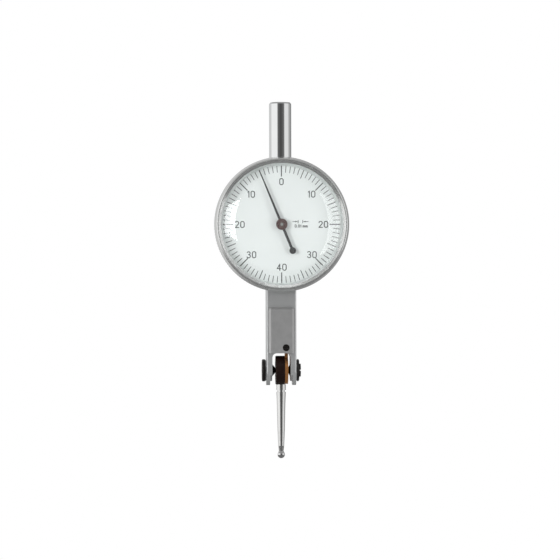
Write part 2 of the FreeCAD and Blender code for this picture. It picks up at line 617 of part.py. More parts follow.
def side_cock(side):
    """A bracket that carries one end of the cross arbor."""
    near, far = side * SIDE_COCK_X, side * (SIDE_COCK_X + SIDE_COCK_WALL)
    spread = SIDE_COCK_HALF + COCK_SCREW_HEAD_RADIUS
    wall = box((near, far), (PLATE_BACK_Y, PIVOT_Y + SIDE_COCK_REACH),
               (DIAL_Z - SIDE_COCK_HALF, DIAL_Z + SIDE_COCK_HALF))
    foot = box((near, far + side * SIDE_COCK_FOOT), (PLATE_BACK_Y, PLATE_BACK_Y + SIDE_COCK_FOOT_THICKNESS),
               (DIAL_Z - spread, DIAL_Z + spread))
    bore = rod("x", CROSS_JEWEL_RADIUS, near, far, PIVOT_Y, DIAL_Z)
    return cut_all(wall.fuse(foot), bore, *(form for form, _, _, _ in cock_screw_forms(THREAD_GAP)[1:]))


def jewels():
    front = tube("y", CENTRE_JEWEL_RADIUS, ARBOR_RADIUS + RUN_GAP, PLATE_FRONT_Y, PLATE_BACK_Y, 0, DIAL_Z)
    rear = tube("y", REAR_JEWEL_RADIUS, REAR_PIVOT_RADIUS + RUN_GAP, CENTRE_COCK_Y,
                CENTRE_COCK_Y + CENTRE_COCK_THICKNESS, 0, DIAL_Z)
    sides = [tube("x", CROSS_JEWEL_RADIUS, CROSS_PIVOT_RADIUS + RUN_GAP, side * SIDE_COCK_X,
                  side * (SIDE_COCK_X + SIDE_COCK_WALL), PIVOT_Y, DIAL_Z) for side in (-1, 1)]
    return Part.makeCompound([front, rear, *sides])


# ---- gears ----
def tooth_points(pitch_radius, module, angle, pitch_deg, a, b):
    """The four corners of one tooth."""
    root, tip = pitch_radius - DEDENDUM * module, pitch_radius + ADDENDUM * module
    spots = ((root, -TOOTH_ROOT), (tip, -TOOTH_TIP), (tip, TOOTH_TIP), (root, TOOTH_ROOT))
    return [on_circle(radius, angle + share * pitch_deg, a, b) for radius, share in spots]


def toothed_wheel(teeth, module, axis, start, end, first_deg, a, b):
    pitch_deg = 360 / teeth
    outline = []
    for i in range(teeth):
        outline += tooth_points(teeth * module / 2, module, first_deg + i * pitch_deg, pitch_deg, a, b)
    return prism(outline, axis, start, end)


def crown_wheel():
    """A wheel with teeth on its right face. They mesh with the centre pinion in front of the arbor."""
    pitch_x = -CENTRE_PINION_RADIUS
    root_x = pitch_x - DEDENDUM * CROWN_MODULE
    tip_x = pitch_x + ADDENDUM * CROWN_MODULE
    web_right = root_x - CROWN_RIM
    web_left = web_right - CROWN_WEB
    outer, inner = CROWN_RADIUS + TOOTH_LENGTH / 2, CROWN_RADIUS - TOOTH_LENGTH / 2
    pitch = math.pi * CROWN_MODULE
    wide, narrow = pitch * (0.5 - TOOTH_TIP), pitch * (0.5 - TOOTH_ROOT)
    gap = prism([(root_x, -narrow), (tip_x + CROWN_MODULE, -wide), (tip_x + CROWN_MODULE, wide),
                 (root_x, narrow)], "y", PIVOT_Y - outer - 1, PIVOT_Y - inner + TOOTH_LENGTH / 2)
    gap.translate(FreeCAD.Vector(0, 0, DIAL_Z))
    middle, way = place("x", 0, PIVOT_Y, DIAL_Z), place("x", 1, 0, 0)
    gaps = []
    for i in range(CROWN_TEETH):
        copy = gap.copy()
        copy.rotate(middle, way, (i + 0.5) * 360 / CROWN_TEETH)
        gaps.append(copy)
    teeth = cut_all(tube("x", outer, inner, web_right, tip_x, PIVOT_Y, DIAL_Z), *gaps)
    web = rod("x", outer, web_left, web_right, PIVOT_Y, DIAL_Z)
    hub = rod("x", CROWN_HUB_RADIUS, web_left - CROWN_HUB_LENGTH, web_left, PIVOT_Y, DIAL_Z)
    spots = [on_circle(CROWN_HOLE_ORBIT, i * 360 / CROWN_HOLES, PIVOT_Y, DIAL_Z) for i in range(CROWN_HOLES)]
    holes = [rod("x", CROWN_HOLE_RADIUS, web_left, web_right, y, z) for y, z in spots]
    bore = rod("x", CROSS_ARBOR_RADIUS, web_left - CROWN_HUB_LENGTH, web_right, PIVOT_Y, DIAL_Z)
    return cut_all(teeth.fuse(web).fuse(hub), bore, *holes).removeSplitter()


def crown_arbor():
    """The cross arbor, with the pinion that the sector drives."""
    shoulder = SIDE_COCK_X - SEAT_GAP
    end = SIDE_COCK_X + SIDE_COCK_WALL
    profile = [(0, -end), (CROSS_PIVOT_RADIUS, -end), (CROSS_PIVOT_RADIUS, -shoulder),
               (CROSS_ARBOR_RADIUS, -shoulder), (CROSS_ARBOR_RADIUS, shoulder),
               (CROSS_PIVOT_RADIUS, shoulder), (CROSS_PIVOT_RADIUS, end), (0, end)]
    shaft = turned(profile, "x", PIVOT_Y, DIAL_Z)
    half_pitch = 180 / CROSS_PINION_TEETH
    pinion = toothed_wheel(CROSS_PINION_TEETH, SECTOR_MODULE, "x", CROSS_PINION_X,
                           CROSS_PINION_X + CROSS_PINION_WIDTH, -90 + half_pitch, PIVOT_Y, DIAL_Z)
    return shaft.fuse(pinion).removeSplitter()


def pointer_plane():
    """The y of the pointer's back face."""
    return DIAL_FACE_Y - POINTER_STAND


def centre_pinion():
    """The pointer's arbor, headed over at its tip, with the pinion that the crown wheel drives."""
    hub_front = pointer_plane() - POINTER_THICKNESS - HUB_DISC_THICKNESS
    tip = hub_front - ARBOR_TIP_STAND
    front = CENTRE_PINION_MID_Y - CENTRE_PINION_WIDTH / 2
    shoulder = CENTRE_COCK_Y - SEAT_GAP
    rear = CENTRE_COCK_Y + CENTRE_COCK_THICKNESS
    profile = [(0, tip), (ARBOR_TIP_RADIUS, tip), (ARBOR_TIP_RADIUS, hub_front), (ARBOR_RADIUS, hub_front),
               (ARBOR_RADIUS, shoulder), (REAR_PIVOT_RADIUS, shoulder), (REAR_PIVOT_RADIUS, rear), (0, rear)]
    shaft = turned(profile, "y", 0, DIAL_Z)
    half_pitch = 180 / CENTRE_PINION_TEETH
    pinion = toothed_wheel(CENTRE_PINION_TEETH, CROWN_MODULE, "y", front, CENTRE_PINION_BACK_Y,
                           180 + half_pitch, 0, DIAL_Z)
    return shaft.fuse(pinion).removeSplitter()


def pointer():
    """The needle, its tail and the disc on the tail, turned to its place at rest."""
    root, tail = HUB_DISC_RADIUS, POINTER_TAIL_WIDTH / 2
    outline = [(-POINTER_ROOT_WIDTH / 2, root), (-POINTER_TIP_WIDTH / 2, POINTER_LENGTH),
               (POINTER_TIP_WIDTH / 2, POINTER_LENGTH), (POINTER_ROOT_WIDTH / 2, root),
               (tail, -root), (tail, -POINTER_TAIL), (-tail, -POINTER_TAIL), (-tail, -root)]
    back = pointer_plane()
    front = back - POINTER_THICKNESS
    needle = prism([(x, DIAL_Z + z) for x, z in outline], "y", front, back)
    disc = rod("y", TAIL_DISC_RADIUS, front, back, 0, DIAL_Z - POINTER_TAIL)
    ring = rod("y", HUB_DISC_RADIUS, front, back, 0, DIAL_Z)
    shape = needle.fuse(disc).fuse(ring).cut(rod("y", HUB_SLEEVE_RADIUS, front, back, 0, DIAL_Z))
    shape.rotate(FreeCAD.Vector(0, 0, DIAL_Z), FreeCAD.Vector(0, 1, 0), POINTER_REST_DEG)
    return shape.removeSplitter()


def pointer_hub():
    """The bush that grips the arbor: a disc in front of the needle and a sleeve through it."""
    back = pointer_plane()
    front = back - POINTER_THICKNESS
    disc = rod("y", HUB_DISC_RADIUS, front - HUB_DISC_THICKNESS, front, 0, DIAL_Z)
    sleeve = rod("y", HUB_SLEEVE_RADIUS, front, back + HUB_SLEEVE_LENGTH, 0, DIAL_Z)
    bore = rod("y", ARBOR_RADIUS, front - HUB_DISC_THICKNESS, back + HUB_SLEEVE_LENGTH, 0, DIAL_Z)
    return disc.fuse(sleeve).cut(bore).removeSplitter()


def collet_y():
    """The collet lies midway between the movement plate and the pinion."""
    pinion_front = CENTRE_PINION_MID_Y - CENTRE_PINION_WIDTH / 2
    middle = (PLATE_BACK_Y + pinion_front) / 2
    half = COLLET_SHARE * (pinion_front - PLATE_BACK_Y) / 2
    return middle - half, middle + half


def hairspring_collet():
    return tube("y", COLLET_RADIUS, ARBOR_RADIUS, *collet_y(), 0, DIAL_Z)


def hairspring():
    """A flat spiral from the collet to the stud."""
    steps = int(HAIRSPRING_TURNS * HAIRSPRING_STEPS)
    start_radius = COLLET_RADIUS + HAIRSPRING_THICKNESS / 2
    last_deg = STUD_DEG
    inner, outer = [], []
    for i in range(steps + 1):
        radius = start_radius + (HAIRSPRING_RADIUS - start_radius) * i / steps
        angle = last_deg - 360 * HAIRSPRING_TURNS * (1 - i / steps)
        inner.append(on_circle(radius - HAIRSPRING_THICKNESS / 2, angle, 0, DIAL_Z))
        outer.append(on_circle(radius + HAIRSPRING_THICKNESS / 2, angle, 0, DIAL_Z))
    middle = sum(collet_y()) / 2
    strip = prism(inner + outer[::-1], "y", middle - HAIRSPRING_HEIGHT / 2, middle + HAIRSPRING_HEIGHT / 2)
    return strip.cut(rod("y", COLLET_RADIUS, *collet_y(), 0, DIAL_Z))


def hairspring_stud():
    orbit = HAIRSPRING_RADIUS + HAIRSPRING_THICKNESS / 2 + STUD_RADIUS
    return rod("y", STUD_RADIUS, PLATE_BACK_Y, collet_y()[1], *on_circle(orbit, STUD_DEG, 0, DIAL_Z))


# ---- lever ----
def rivet_places():
    return [(PIVOT_Y, DIAL_Z - drop) for drop in RIVET_DROPS]


def sector_lever():
    """The bronze lever: a disc around the hub and a tapering arm up the neck."""
    low, high = LEVER_WIDTH / 2, LEVER_TOP_WIDTH / 2
    top = DIAL_Z - LEVER_TOP_DROP
    arm = prism([(PIVOT_Y - low, PIVOT_Z), (PIVOT_Y + low, PIVOT_Z), (PIVOT_Y + high, top),
                 (PIVOT_Y - high, top)], "x", LEVER_LEFT_X, LEVER_RIGHT_X)
    disc = rod("x", LEVER_DISC_RADIUS, LEVER_LEFT_X, LEVER_RIGHT_X, PIVOT_Y, PIVOT_Z)
    holes = [rod("x", RIVET_RADIUS, LEVER_LEFT_X, LEVER_RIGHT_X, y, z) for y, z in rivet_places()]
    holes.append(rod("x", LEVER_HUB_RADIUS, LEVER_LEFT_X, LEVER_RIGHT_X, PIVOT_Y, PIVOT_Z))
    return cut_all(arm.fuse(disc), *holes).removeSplitter()


def sector_gear():
    """A toothed plate riveted to the lever's end. Its teeth lie around the pivot axis."""
    pitch_deg = math.degrees(SECTOR_MODULE * math.pi / SECTOR_RADIUS)
    first = 90 + (SECTOR_TEETH - 1) / 2 * pitch_deg
    outline = []
    for i in range(SECTOR_TEETH):
        angle = first - i * pitch_deg
        outline += tooth_points(SECTOR_RADIUS, SECTOR_MODULE, angle, -pitch_deg, PIVOT_Y, PIVOT_Z)
    foot = SECTOR_FOOT_WIDTH / 2
    shoulder = outline[0][1] - SECTOR_SHOULDER
    bottom = DIAL_Z - SECTOR_FOOT_DROP
    outline = [(outline[0][0], shoulder)] + outline + [(outline[-1][0], shoulder)]
    outline += [(PIVOT_Y + foot, bottom), (PIVOT_Y - foot, bottom)]
    plate = prism(outline, "x", LEVER_RIGHT_X, LEVER_RIGHT_X + SECTOR_THICKNESS)
    return cut_all(plate, *(rod("x", RIVET_RADIUS, LEVER_RIGHT_X, LEVER_RIGHT_X + SECTOR_THICKNESS, y, z)
                            for y, z in rivet_places()))


def sector_rivets():
    left, right = LEVER_LEFT_X, LEVER_RIGHT_X + SECTOR_THICKNESS
    profile = [(0, left - RIVET_HEAD_HEIGHT), (RIVET_HEAD_RADIUS, left - RIVET_HEAD_HEIGHT),
               (RIVET_HEAD_RADIUS, left), (RIVET_RADIUS, left), (RIVET_RADIUS, right),
               (RIVET_HEAD_RADIUS, right), (RIVET_HEAD_RADIUS, right + RIVET_HEAD_HEIGHT),
               (0, right + RIVET_HEAD_HEIGHT)]
    return Part.makeCompound([turned(profile, "x", y, z) for y, z in rivet_places()])


def cone_profile(base_x, neck_x, inward, gap=0.0):
    """A pivot screw's nose, from the ear's inner face to its point inside the lever's hub."""
    return [(PIVOT_SCREW_RADIUS + gap, base_x), (CONE_NECK_RADIUS + gap, neck_x),
            (CONE_POINT_RADIUS + gap, neck_x + inward * CONE_POINT_LENGTH),
            (0, neck_x + inward * (CONE_POINT_LENGTH + gap))]


def lever_hub():
    """The hub that the lever is fixed to, with a cone seat in each end and a flange for the clutch."""
    body = turned([(0, HUB_LEFT_X), (HUB_FLANGE_RADIUS, HUB_LEFT_X), (HUB_FLANGE_RADIUS, WASHER_X),
                   (LEVER_HUB_RADIUS, WASHER_X), (LEVER_HUB_RADIUS, LEVER_RIGHT_X), (0, LEVER_RIGHT_X)],
                  "x", PIVOT_Y, PIVOT_Z)
    seats = []
    for neck_x, inward in ((HUB_LEFT_X, 1), (LEVER_RIGHT_X, -1)):
        nose = cone_profile(neck_x, neck_x, inward, CONE_SEAT_GAP)[1:]
        seats.append(turned([(0, neck_x)] + nose, "x", PIVOT_Y, PIVOT_Z))
    return cut_all(body, *seats)


def friction_washer():
    return tube("x", HUB_FLANGE_RADIUS, LEVER_HUB_RADIUS + RUN_GAP, WASHER_X, WASHER_X + WASHER_THICKNESS,
                PIVOT_Y, PIVOT_Z)


# ---- stylus ----
def stylus_holder():
    """A round holder that turns on the lever's hub when it is pushed by hand."""
    right = LEVER_LEFT_X - FACE_GAP
    edge = HOLDER_RADIUS - HOLDER_EDGE
    disc = turned([(0, HOLDER_LEFT_X), (edge, HOLDER_LEFT_X), (HOLDER_RADIUS, HOLDER_LEFT_X + HOLDER_EDGE),
                   (HOLDER_RADIUS, right - HOLDER_EDGE), (edge, right), (0, right)], "x", PIVOT_Y, PIVOT_Z)
    flat_z = PIVOT_Z - HOLDER_FLAT_DROP
    below = box((HOLDER_LEFT_X, right), (PIVOT_Y - HOLDER_RADIUS, PIVOT_Y + HOLDER_RADIUS),
                (flat_z - HOLDER_RADIUS, flat_z))
    bore = rod("x", LEVER_HUB_RADIUS + RUN_GAP, HOLDER_LEFT_X, right, PIVOT_Y, PIVOT_Z)
    counterbore = rod("x", HUB_FLANGE_RADIUS + RUN_GAP, HOLDER_LEFT_X, HOLDER_FLOOR_X, PIVOT_Y, PIVOT_Z)
    thread = rod("z", STYLUS_THREAD_RADIUS + THREAD_GAP, flat_z, flat_z + STYLUS_THREAD_LENGTH + THREAD_GAP,
                 stylus_x(), PIVOT_Y)
    return cut_all(disc, below, bore, counterbore, thread)


def stylus_x():
    """The stylus stands in the neck's middle plane, kept inside the holder's thickness."""
    lowest = HOLDER_LEFT_X + STYLUS_THREAD_RADIUS + 2 * HOLDER_EDGE
    highest = LEVER_LEFT_X - FACE_GAP - STYLUS_THREAD_RADIUS - HOLDER_EDGE
    return min(max(0.0, lowest), highest)


def stylus():
    top = PIVOT_Z - HOLDER_FLAT_DROP
    collar_end = top - COLLAR_LENGTH
    groove_end = collar_end - GROOVE_LENGTH
    shank_end = groove_end - SHANK_END_DROP
    profile = [(0, top + STYLUS_THREAD_LENGTH), (STYLUS_THREAD_RADIUS, top + STYLUS_THREAD_LENGTH),
               (STYLUS_THREAD_RADIUS, top), (COLLAR_RADIUS, top), (COLLAR_RADIUS, collar_end),
               (GROOVE_RADIUS, collar_end), (GROOVE_RADIUS, groove_end)]
    profile += [(radius, groove_end - drop) for radius, drop in SHANK_PROFILE]
    profile += [(SHANK_FLARE_RADIUS, shank_end), (0, shank_end)]
    ball = Part.makeSphere(BALL_RADIUS, FreeCAD.Vector(stylus_x(), PIVOT_Y, PIVOT_Z - BALL_DROP))
    return turned(profile, "z", stylus_x(), PIVOT_Y).cut(ball)


def contact_ball():
    return Part.makeSphere(BALL_RADIUS, FreeCAD.Vector(stylus_x(), PIVOT_Y, PIVOT_Z - BALL_DROP))


# ---- pivot screws ----
def lock_disc_faces(side):
    """The inner and outer face of a lock disc, in X."""
    thickness = LOCK_DISC_LEFT if side < 0 else LOCK_DISC_RIGHT
    inner = EAR_OUTER_X + PIVOT_WASHER_THICKNESS
    return side * inner, side * (inner + thickness)


def pivot_screw(side):
    """A threaded pin with a cone nose. Only the right one stands out of its lock disc."""
    outer_end = lock_disc_faces(side)[1] + (PIVOT_SCREW_STAND if side > 0 else 0)
    neck_x = HUB_LEFT_X if side < 0 else LEVER_RIGHT_X
    profile = [(0, outer_end), (PIVOT_SCREW_RADIUS, outer_end)]
    profile += cone_profile(side * EAR_INNER_X, neck_x, -side)
    return slotted(turned(profile, "x", PIVOT_Y, PIVOT_Z), "x", outer_end, -side, PIVOT_SCREW_RADIUS,
                   PIVOT_Y, PIVOT_Z)


def lock_disc(side):
    inner, outer = lock_disc_faces(side)
    edge = LOCK_DISC_RADIUS - LOCK_DISC_EDGE
    disc = turned([(0, inner), (edge, inner), (LOCK_DISC_RADIUS, inner + side * LOCK_DISC_EDGE),
                   (LOCK_DISC_RADIUS, outer - side * LOCK_DISC_EDGE), (edge, outer), (0, outer)],
                  "x", PIVOT_Y, PIVOT_Z)
    return disc.cut(rod("x", PIVOT_SCREW_RADIUS + THREAD_GAP, inner, outer, PIVOT_Y, PIVOT_Z))


def pivot_washers():
    return Part.makeCompound([
        tube("x", PIVOT_WASHER_RADIUS, PIVOT_SCREW_RADIUS + THREAD_GAP, side * EAR_OUTER_X,
             side * (EAR_OUTER_X + PIVOT_WASHER_THICKNESS), PIVOT_Y, PIVOT_Z) for side in (-1, 1)])


NODES = {
    "stem": stem, "case_body": case_body, "back_cover": back_cover,
    "back_cover_screws": lambda: case_screws(CASE_BACK_Y, -1),
    "neck_cover": neck_cover, "cover_screw": cover_screw, "limit_pins": limit_pins,
    "bezel": bezel, "bezel_spring": bezel_spring, "crystal": crystal, "rehaut_ring": rehaut_ring,
    "dial_plate": dial_plate, "movement_plate": movement_plate,
    "movement_screws": lambda: case_screws(PLATE_FRONT_Y, 1),
    "centre_cock": centre_cock, "crown_cock_left": lambda: side_cock(-1),
    "crown_cock_right": lambda: side_cock(1), "cock_screws": cock_screws, "jewels": jewels,
    "crown_wheel": crown_wheel, "crown_arbor": crown_arbor, "centre_pinion": centre_pinion,
    "pointer": pointer, "pointer_hub": pointer_hub, "hairspring_collet": hairspring_collet,
    "hairspring": hairspring, "hairspring_stud": hairspring_stud,
    "sector_lever": sector_lever, "sector_gear": sector_gear, "sector_rivets": sector_rivets,
    "lever_hub": lever_hub, "friction_washer": friction_washer,
    "stylus_holder": stylus_holder, "stylus": stylus, "contact_ball": contact_ball,
    "pivot_screw_left": lambda: pivot_screw(-1), "pivot_screw_right": lambda: pivot_screw(1),
    "lock_disc_left": lambda: lock_disc(-1), "lock_disc_right": lambda: lock_disc(1),
    "pivot_washers": pivot_washers,
}

os.makedirs("parts", exist_ok=True)
for name, make in NODES.items():
    make().exportStep(os.path.join("parts", name + ".step"))
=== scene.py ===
import math

import bmesh
import bpy
from mathutils import Matrix, Quaternion, Vector


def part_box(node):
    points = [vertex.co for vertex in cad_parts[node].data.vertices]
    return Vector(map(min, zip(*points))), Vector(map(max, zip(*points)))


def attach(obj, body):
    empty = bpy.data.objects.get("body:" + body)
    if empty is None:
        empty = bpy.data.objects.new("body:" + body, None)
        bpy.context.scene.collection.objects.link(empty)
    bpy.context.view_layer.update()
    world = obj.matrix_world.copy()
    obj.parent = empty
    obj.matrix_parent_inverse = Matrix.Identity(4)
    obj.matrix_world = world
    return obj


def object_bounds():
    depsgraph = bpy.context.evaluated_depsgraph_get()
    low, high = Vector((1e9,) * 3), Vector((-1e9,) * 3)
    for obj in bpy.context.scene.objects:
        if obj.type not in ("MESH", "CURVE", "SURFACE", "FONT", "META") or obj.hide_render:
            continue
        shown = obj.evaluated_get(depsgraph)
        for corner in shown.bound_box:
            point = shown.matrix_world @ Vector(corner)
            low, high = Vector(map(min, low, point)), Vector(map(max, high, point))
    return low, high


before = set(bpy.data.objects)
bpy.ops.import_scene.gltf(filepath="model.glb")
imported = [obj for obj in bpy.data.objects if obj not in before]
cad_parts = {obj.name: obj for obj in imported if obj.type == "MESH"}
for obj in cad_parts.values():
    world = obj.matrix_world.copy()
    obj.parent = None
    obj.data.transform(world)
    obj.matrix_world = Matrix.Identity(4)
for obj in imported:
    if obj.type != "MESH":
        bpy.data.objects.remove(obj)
cad_low, cad_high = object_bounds()
MM = 0.001
DIAL_Z = -17.2 * MM

# ------------------------------------------------------------------ camera

VIEW_DISTANCE = 0.600
VIEW_AZIMUTH = math.radians(-2.4)
VIEW_ROLL = math.radians(-0.16)
VIEW_AIM = Vector((-0.00045, -0.007, -0.03205))
VIEW_LENS = 144.3

back = Vector((math.sin(VIEW_AZIMUTH), -math.cos(VIEW_AZIMUTH), 0.0))
camera = bpy.data.objects.new("camera", bpy.data.cameras.new("camera"))
bpy.context.collection.objects.link(camera)
camera.data.type = "PERSP"
camera.data.sensor_width = 36
camera.data.lens = VIEW_LENS
camera.data.clip_start = 0.01
camera.data.clip_end = 20
camera.location = VIEW_AIM + back * VIEW_DISTANCE
camera.rotation_mode = "QUATERNION"
camera.rotation_quaternion = (-back).to_track_quat("-Z", "Y") @ Quaternion((0, 0, 1), VIEW_ROLL)
bpy.context.scene.camera = camera
bpy.context.scene.view_settings.view_transform = "Standard"

# ------------------------------------------------------------------ node helpers


class Nodes:
    """A node tree being written: new nodes, sums and links by name."""

    def __init__(self, tree):
        self.tree = tree
        tree.nodes.clear()

    def new(self, kind, **settings):
        node = self.tree.nodes.new(kind)
        for key, value in settings.items():
            setattr(node, key, value)
        return node

    def link(self, output, target):
        self.tree.links.new(output, target)

    def math(self, operation, a, b=None, clamp=False):
        node = self.new("ShaderNodeMath", operation=operation, use_clamp=clamp)
        for socket, value in zip(node.inputs, (a, b)):
            if value is None:
                continue
            if isinstance(value, (int, float)):
                socket.default_value = value
            else:
                self.link(value, socket)
        return node.outputs[0]

    def span(self, value, low, high, to_low, to_high):
        node = self.new("ShaderNodeMapRange", clamp=True)
        self.link(value, node.inputs["Value"])
        limits = {"From Min": low, "From Max": high, "To Min": to_low, "To Max": to_high}
        for name, number in limits.items():
            node.inputs[name].default_value = number
        return node.outputs[0]

    def ramp(self, value, stops):
        node = self.new("ShaderNodeValToRGB")
        while len(node.color_ramp.elements) < len(stops):
            node.color_ramp.elements.new(0.5)
        for element, (place, tone) in zip(node.color_ramp.elements, stops):
            element.position = place
            element.color = (*tone, 1) if isinstance(tone, tuple) else (tone, tone, tone, 1)
        self.link(value, node.inputs[0])
        return node.outputs[0]

    def noise(self, coordinates, scale, detail=3, stretch=None, rough=0.5):
        if stretch:
            mapping = self.new("ShaderNodeMapping")
            mapping.inputs["Scale"].default_value = stretch
            self.link(coordinates, mapping.inputs["Vector"])
            coordinates = mapping.outputs[0]
        node = self.new("ShaderNodeTexNoise")
        node.inputs["Scale"].default_value = scale
        node.inputs["Detail"].default_value = detail
        node.inputs["Roughness"].default_value = rough
        self.link(coordinates, node.inputs["Vector"])
        return node.outputs["Fac"]

    def mix(self, factor, a, b):
        node = self.new("ShaderNodeMix", data_type="RGBA")
        if isinstance(factor, (int, float)):
            node.inputs[0].default_value = factor
        else:
            self.link(factor, node.inputs[0])
        for socket, value in ((node.inputs[6], a), (node.inputs[7], b)):
            if isinstance(value, tuple):
                socket.default_value = (*value, 1)
            else:
                self.link(value, socket)
        return node.outputs[2]


def shade(colour, share):
    return tuple(min(1.0, max(0.0, c * share)) for c in colour)


GRAIN_DEPTH = 0.004 * MM
# Width and patchiness of the lightened edges: edge wear together with a painted edge highlight.
EDGE_WEAR_AND_HIGHLIGHT_WIDTH = 0.08 * MM
EDGE_WEAR_AND_HIGHLIGHT_SCALE = 1500
SPECK_SCALE = 1900
COAT_ROUGHNESS = 0.12


def finish(name, colour, metallic=1.0, rough=0.3, spread=0.06, rough_spread=0.06, grain=9000,
           stretch=None, bump=0.1, patch=260, edge_wear_and_highlight=None, coat=0.0, spots=0.0):
    """A surface with patches of tone, grain, uneven gloss and, where given, specks and lightened edges,
    which are worn edges together with a painted edge highlight.
    """
    material = bpy.data.materials.new(name)
    material.use_nodes = True
    n = Nodes(material.node_tree)
    place = n.new("ShaderNodeTexCoord").outputs["Object"]
    shader = n.new("ShaderNodeBsdfPrincipled")
    output = n.new("ShaderNodeOutputMaterial")
    n.link(shader.outputs[0], output.inputs["Surface"])
    shader.inputs["Metallic"].default_value = metallic
    shader.inputs["Coat Weight"].default_value = coat
    shader.inputs["Coat Roughness"].default_value = COAT_ROUGHNESS
    broad = n.noise(place, patch, 4)
    fine = n.noise(place, grain, 3, stretch)
    tone = n.mix(n.span(broad, 0.32, 0.68, 0, 1), shade(colour, 1 - spread), shade(colour, 1 + spread))
    tone = n.mix(n.span(fine, 0.3, 0.7, 0, 0.5), tone, shade(colour, 1 - 1.6 * spread))
    if spots:
        speck = n.span(n.noise(place, SPECK_SCALE, 2), 0.66, 0.72, 0, spots)
        tone = n.mix(speck, tone, shade(colour, 0.55))
    swing = rough_spread / 2
    gloss = n.math("ADD", n.span(broad, 0.3, 0.7, rough - swing, rough + swing),
                   n.span(fine, 0.3, 0.7, -swing, swing), clamp=True)
    # Edges are lightened towards the given colour: worn edges together with a painted edge highlight.
    if edge_wear_and_highlight:
        edge = n.new("ShaderNodeBevel", samples=4)
        edge.inputs["Radius"].default_value = EDGE_WEAR_AND_HIGHLIGHT_WIDTH
        flat = n.new("ShaderNodeNewGeometry")
        dot = n.new("ShaderNodeVectorMath", operation="DOT_PRODUCT")
        n.link(edge.outputs[0], dot.inputs[0])
        n.link(flat.outputs["Normal"], dot.inputs[1])
        wear_and_highlight_mask = n.span(dot.outputs["Value"], 0.99, 0.86, 0, 1)
        wear_and_highlight_mask = n.math("MULTIPLY", wear_and_highlight_mask, n.span(n.noise(place, EDGE_WEAR_AND_HIGHLIGHT_SCALE, 4), 0.35, 0.6, 0.15, 1))
        tone = n.mix(wear_and_highlight_mask, tone, edge_wear_and_highlight)
    n.link(tone, shader.inputs["Base Color"])
    n.link(gloss, shader.inputs["Roughness"])
    relief = n.new("ShaderNodeBump")
    relief.inputs["Strength"].default_value = bump
    relief.inputs["Distance"].default_value = GRAIN_DEPTH
    n.link(fine, relief.inputs["Height"])
    n.link(relief.outputs[0], shader.inputs["Normal"])
    return material


def clear_glass(name):
    """Clear acrylic, dulled unevenly by rubbing. Shadow and diffuse rays pass straight through it."""
    material = bpy.data.materials.new(name)
    material.use_nodes = True
    n = Nodes(material.node_tree)
    place = n.new("ShaderNodeTexCoord").outputs["Object"]
    shader = n.new("ShaderNodeBsdfPrincipled")
    shader.inputs["Base Color"].default_value = (0.975, 0.985, 0.985, 1)
    shader.inputs["IOR"].default_value = 1.49
    shader.inputs["Transmission Weight"].default_value = 1.0
    rubbed = n.noise(place, 700, 5, (1, 1, 3))
    n.link(n.span(rubbed, 0.35, 0.75, 0.0, 0.03), shader.inputs["Roughness"])
    through = n.new("ShaderNodeBsdfTransparent")
    through.inputs["Color"].default_value = (0.96, 0.97, 0.97, 1)
    path = n.new("ShaderNodeLightPath")
    both = n.new("ShaderNodeMixShader")
    n.link(n.math("MAXIMUM", path.outputs["Is Shadow Ray"], path.outputs["Is Diffuse Ray"]), both.inputs[0])
    n.link(shader.outputs[0], both.inputs[1])
    n.link(through.outputs[0], both.inputs[2])
    n.link(both.outputs[0], n.new("ShaderNodeOutputMaterial").inputs["Surface"])
    return material


# ------------------------------------------------------------------ finishes

ALONG_Z = (1, 1, 0.05)

REHAUT = finish("rehaut_satin", (0.72, 0.74, 0.73), metallic=0.35, rough=0.42, spread=0.03, grain=7000,
                bump=0.12)
CASE = finish("case_chrome", (0.66, 0.67, 0.67), metallic=0.75, rough=0.38, spread=0.03, grain=5200,
              bump=0.14, spots=0.12)
BEZEL = finish("bezel_chrome", (0.78, 0.79, 0.78), metallic=0.9, rough=0.24, spread=0.03, grain=8000,
               bump=0.10, spots=0.08)
BRIGHT = finish("bright_chrome", (0.84, 0.85, 0.85), rough=0.07, rough_spread=0.05, spread=0.02, grain=6000,
                stretch=ALONG_Z, bump=0.06)
GROUND = finish("ground_chrome", (0.80, 0.80, 0.79), rough=0.15, rough_spread=0.06, spread=0.03, grain=9000,
                bump=0.08)
COVER = finish("cover_steel", (0.43, 0.43, 0.43), metallic=0.6, rough=0.38, rough_spread=0.10, spread=0.06,
               grain=9000, stretch=(1, 1, 0.08), bump=0.30, patch=700, spots=0.15)
# The worn= colours below are the lightened edges: wear together with a painted edge highlight.
BLACK = finish("black_oxide", (0.022, 0.020, 0.019), metallic=0.6, rough=0.34, rough_spread=0.14,
               spread=0.25, grain=6000, bump=0.2, edge_wear_and_highlight=(0.20, 0.19, 0.18))
HOLDER = finish("holder_black", (0.022, 0.010, 0.008), metallic=0.5, rough=0.36, rough_spread=0.14,
                spread=0.3, grain=6500, bump=0.25, edge_wear_and_highlight=(0.16, 0.10, 0.07))
NEEDLE = finish("pointer_black", (0.010, 0.010, 0.011), metallic=0.0, rough=0.42, rough_spread=0.1,
                spread=0.3, bump=0.1)
HUB = finish("hub_brown", (0.060, 0.028, 0.026), metallic=0.35, rough=0.32, spread=0.2, bump=0.12,
             edge_wear_and_highlight=(0.20, 0.14, 0.12))
DIAL = finish("dial_white", (0.74, 0.76, 0.75), metallic=0.0, rough=0.55, rough_spread=0.08, spread=0.012,
              grain=12000, bump=0.08, patch=150)
INK = finish("dial_ink", (0.016, 0.017, 0.018), metallic=0.0, rough=0.6, spread=0.2, grain=9000, bump=0.05)
BRASS = finish("brass", (0.78, 0.62, 0.32), rough=0.26, spread=0.06, grain=6000, bump=0.12)
